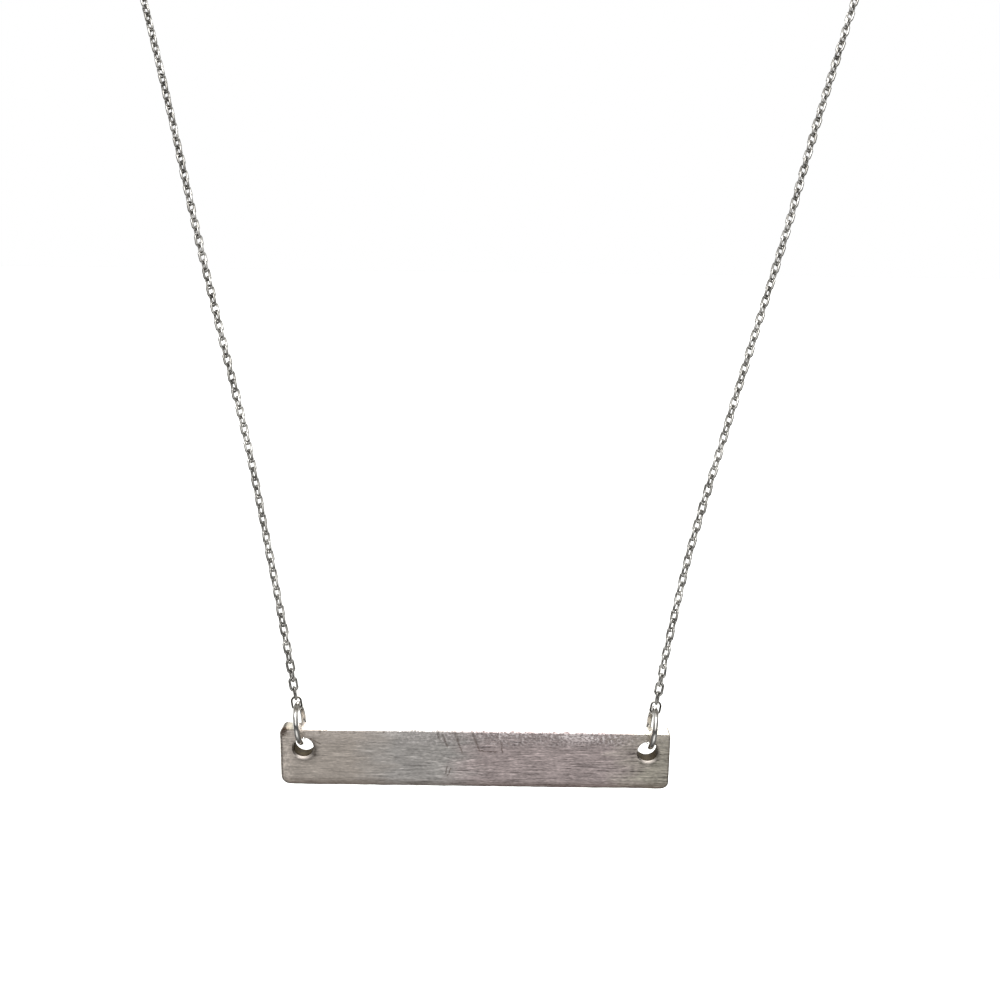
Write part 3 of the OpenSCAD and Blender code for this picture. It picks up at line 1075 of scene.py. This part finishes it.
class PENDANT_OT_jump_rings(Operator):
    """Makes the two jump rings that carry the bar"""

    bl_idname = "pendant.jump_rings"
    bl_label = "Jump rings"
    bl_options = {"REGISTER", "UNDO"}

    def execute(self, context):
        wires = context.scene.pendant.wires
        rows = []
        for side in SIDES:
            axis = Vector((math.cos(wires.ring_lean), 0, -side * math.sin(wires.ring_lean)))
            # Each ring's joint lies at its back, a little above the middle
            joint = Vector((0, math.cos(math.radians(25)), math.sin(math.radians(25))))
            rows.append((node_middle(RINGS[side]), axis, joint))
        rings = run_tree("jump_rings", posed_points("ring_places", rows), jump_ring_tree(), {
            "Outside diameter": RING_OD, "Wire": wires.ring_wire, "Joint": wires.ring_gap,
            "Material": silver("polished sterling silver")})
        rings.data.set_sharp_from_angle(angle=math.radians(50))
        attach(rings, "rings")
        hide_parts(*RINGS.values())
        return {"FINISHED"}


class PENDANT_OT_clasp(Operator):
    """Finishes the clasp and the ring that hooks into it"""

    bl_idname = "pendant.clasp"
    bl_label = "Clasp"
    bl_options = {"REGISTER", "UNDO"}

    def execute(self, context):
        for name in ("clasp", "catch_ring"):
            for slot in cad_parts[name].material_slots:
                slot.material = silver("polished sterling silver")
        return {"FINISHED"}


def place_camera(studio):
    """The camera in front of the bar and above it, looking down."""
    data = bpy.data.cameras.new("camera")
    data.lens = studio.lens
    data.sensor_width = 36
    data.clip_start = 5 * MM
    camera = link_object("camera", data)
    camera.matrix_world = (
        Matrix.Translation(BAR_FACE + Vector(studio.camera_from_bar))
        @ Matrix.Rotation(math.pi / 2 - studio.tilt, 4, "X")
        @ Matrix.Rotation(studio.roll, 4, "Z"))
    bpy.context.scene.camera = camera


def soft_lamp(name, way, strength):
    """A broad light that comes from one direction."""
    data = bpy.data.lights.new(name, "SUN")
    data.energy = strength
    data.angle = math.radians(32)
    lamp = link_object(name, data)
    lamp.rotation_euler = Vector(way).to_track_quat("Z", "Y").to_euler()


# What the silver mirrors in front, at the sides and at the back. Columns: height from -1
# straight down to 1 straight up, and brightness. The front has a dark belt at eye level.
FRONT_WALL = (
    (-1, 0.05), (-0.85, 0.3), (-0.68, 1), (-0.32, 0.98), (-0.16, 0.12), (0.14, 0.06),
    (0.3, 0.95), (1, 1))
SIDE_WALL = ((-1, 0.06), (-0.4, 0.2), (-0.1, 0.12), (0.4, 0.12), (0.8, 0.5), (1, 0.8))
BACK_WALL = ((-1, 0.04), (-0.6, 0.2), (-0.3, 0.5), (0, 0.85), (1, 0.95))


def studio_room():
    """White walls for the eye. The silver mirrors walls that are light in front and above."""
    world = bpy.data.worlds.new("studio_room")
    world.use_nodes = True
    tree = world.node_tree
    tree.nodes.clear()
    way = add(tree, AXES, (add(tree, "ShaderNodeTexCoord").outputs["Generated"],)).outputs
    height = add(tree, RANGE, (way["Z"], -1, 1, 0, 1))
    front, side, back = (
        with_stops(add(tree, RAMP, (height,)),
                   [((at + 1) / 2, (grey, grey, grey)) for at, grey in wall])
        for wall in (FRONT_WALL, SIDE_WALL, BACK_WALL))
    # The lamps in front stand above eye level
    lamps = add(tree, RANGE, (way["Z"], 0.25, 0.45, 1, 1.5))
    front = add(tree, VECTOR, {0: front, "Scale": lamps}, operation="SCALE")
    sideways = add(tree, MATH, (way["X"],), operation="ABSOLUTE")
    near = coated(tree, front, (add(tree, RANGE, (sideways, 0.35, 0.55, 0, 1)), side))
    to_eye = add(tree, "ShaderNodeLightPath").outputs["Is Camera Ray"]
    room = coated(tree, near, (add(tree, RANGE, (way["Y"], 0, 0.4, 0, 1)), back),
                  (to_eye, (1, 1, 1)))
    walls = add(tree, "ShaderNodeBackground", {"Color": room})
    add(tree, "ShaderNodeOutputWorld", {"Surface": walls})
    return world


class PENDANT_OT_studio(Operator):
    """Sets up the pale floor, the soft light and the camera"""

    bl_idname = "pendant.studio"
    bl_label = "Studio"
    bl_options = {"REGISTER", "UNDO"}

    def execute(self, context):
        studio = context.scene.pendant.studio
        place_camera(studio)
        size = 6
        mesh = bpy.data.meshes.new("floor")
        mesh.from_pydata(
            [(-size, studio.floor_start, -studio.floor_drop),
             (size, studio.floor_start, -studio.floor_drop),
             (size, size, -studio.floor_drop), (-size, size, -studio.floor_drop)],
            [], [(0, 1, 2, 3)])
        mesh.materials.append(plain_paper(studio.floor_colour))
        link_object("floor", mesh)

        soft_lamp("back_light", (0.05, 0.85, 0.5), studio.back_light)
        soft_lamp("top_light", (-0.1, -0.4, 0.9), studio.top_light)
        context.scene.world = studio_room()
        context.scene.view_settings.view_transform = "Standard"
        return {"FINISHED"}


class PendantSettings(PropertyGroup):
    bar: PointerProperty(type=BarSizes)
    chain: PointerProperty(type=ChainSizes)
    wires: PointerProperty(type=WireSizes)
    colours: PointerProperty(type=SilverColours)
    studio: PointerProperty(type=StudioSettings)


OPERATORS = (
    PENDANT_OT_studio,
    PENDANT_OT_bar,
    PENDANT_OT_jump_rings,
    PENDANT_OT_end_links,
    PENDANT_OT_chain,
    PENDANT_OT_clasp,
)


class PENDANT_PT_panel(Panel):
    """Lists the pendant's pieces and their settings"""

    bl_label = "Bar pendant"
    bl_idname = "PENDANT_PT_panel"
    bl_space_type = "VIEW_3D"
    bl_region_type = "UI"
    bl_category = "Pendant"

    def draw(self, context):
        layout = self.layout
        for operator in OPERATORS:
            layout.operator(operator.bl_idname)
        for name in ("bar", "chain", "wires", "colours", "studio"):
            group = getattr(context.scene.pendant, name)
            box = layout.box()
            box.label(text=name.capitalize())
            for label in group.__annotations__:
                box.prop(group, label)


CLASSES = (
    BarSizes, ChainSizes, WireSizes, SilverColours, StudioSettings, PendantSettings,
    *OPERATORS, PENDANT_PT_panel,
)


def register():
    for item in CLASSES:
        bpy.utils.register_class(item)
    bpy.types.Scene.pendant = PointerProperty(type=PendantSettings)


def unregister():
    del bpy.types.Scene.pendant
    for item in reversed(CLASSES):
        bpy.utils.unregister_class(item)


def main():
    """Makes every piece in order."""
    register()
    bpy.ops.pendant.studio()
    bpy.ops.pendant.bar()
    bpy.ops.pendant.jump_rings()
    bpy.ops.pendant.end_links()
    bpy.ops.pendant.chain()
    bpy.ops.pendant.clasp()
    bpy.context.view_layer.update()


if __name__ == "__main__":
    main()
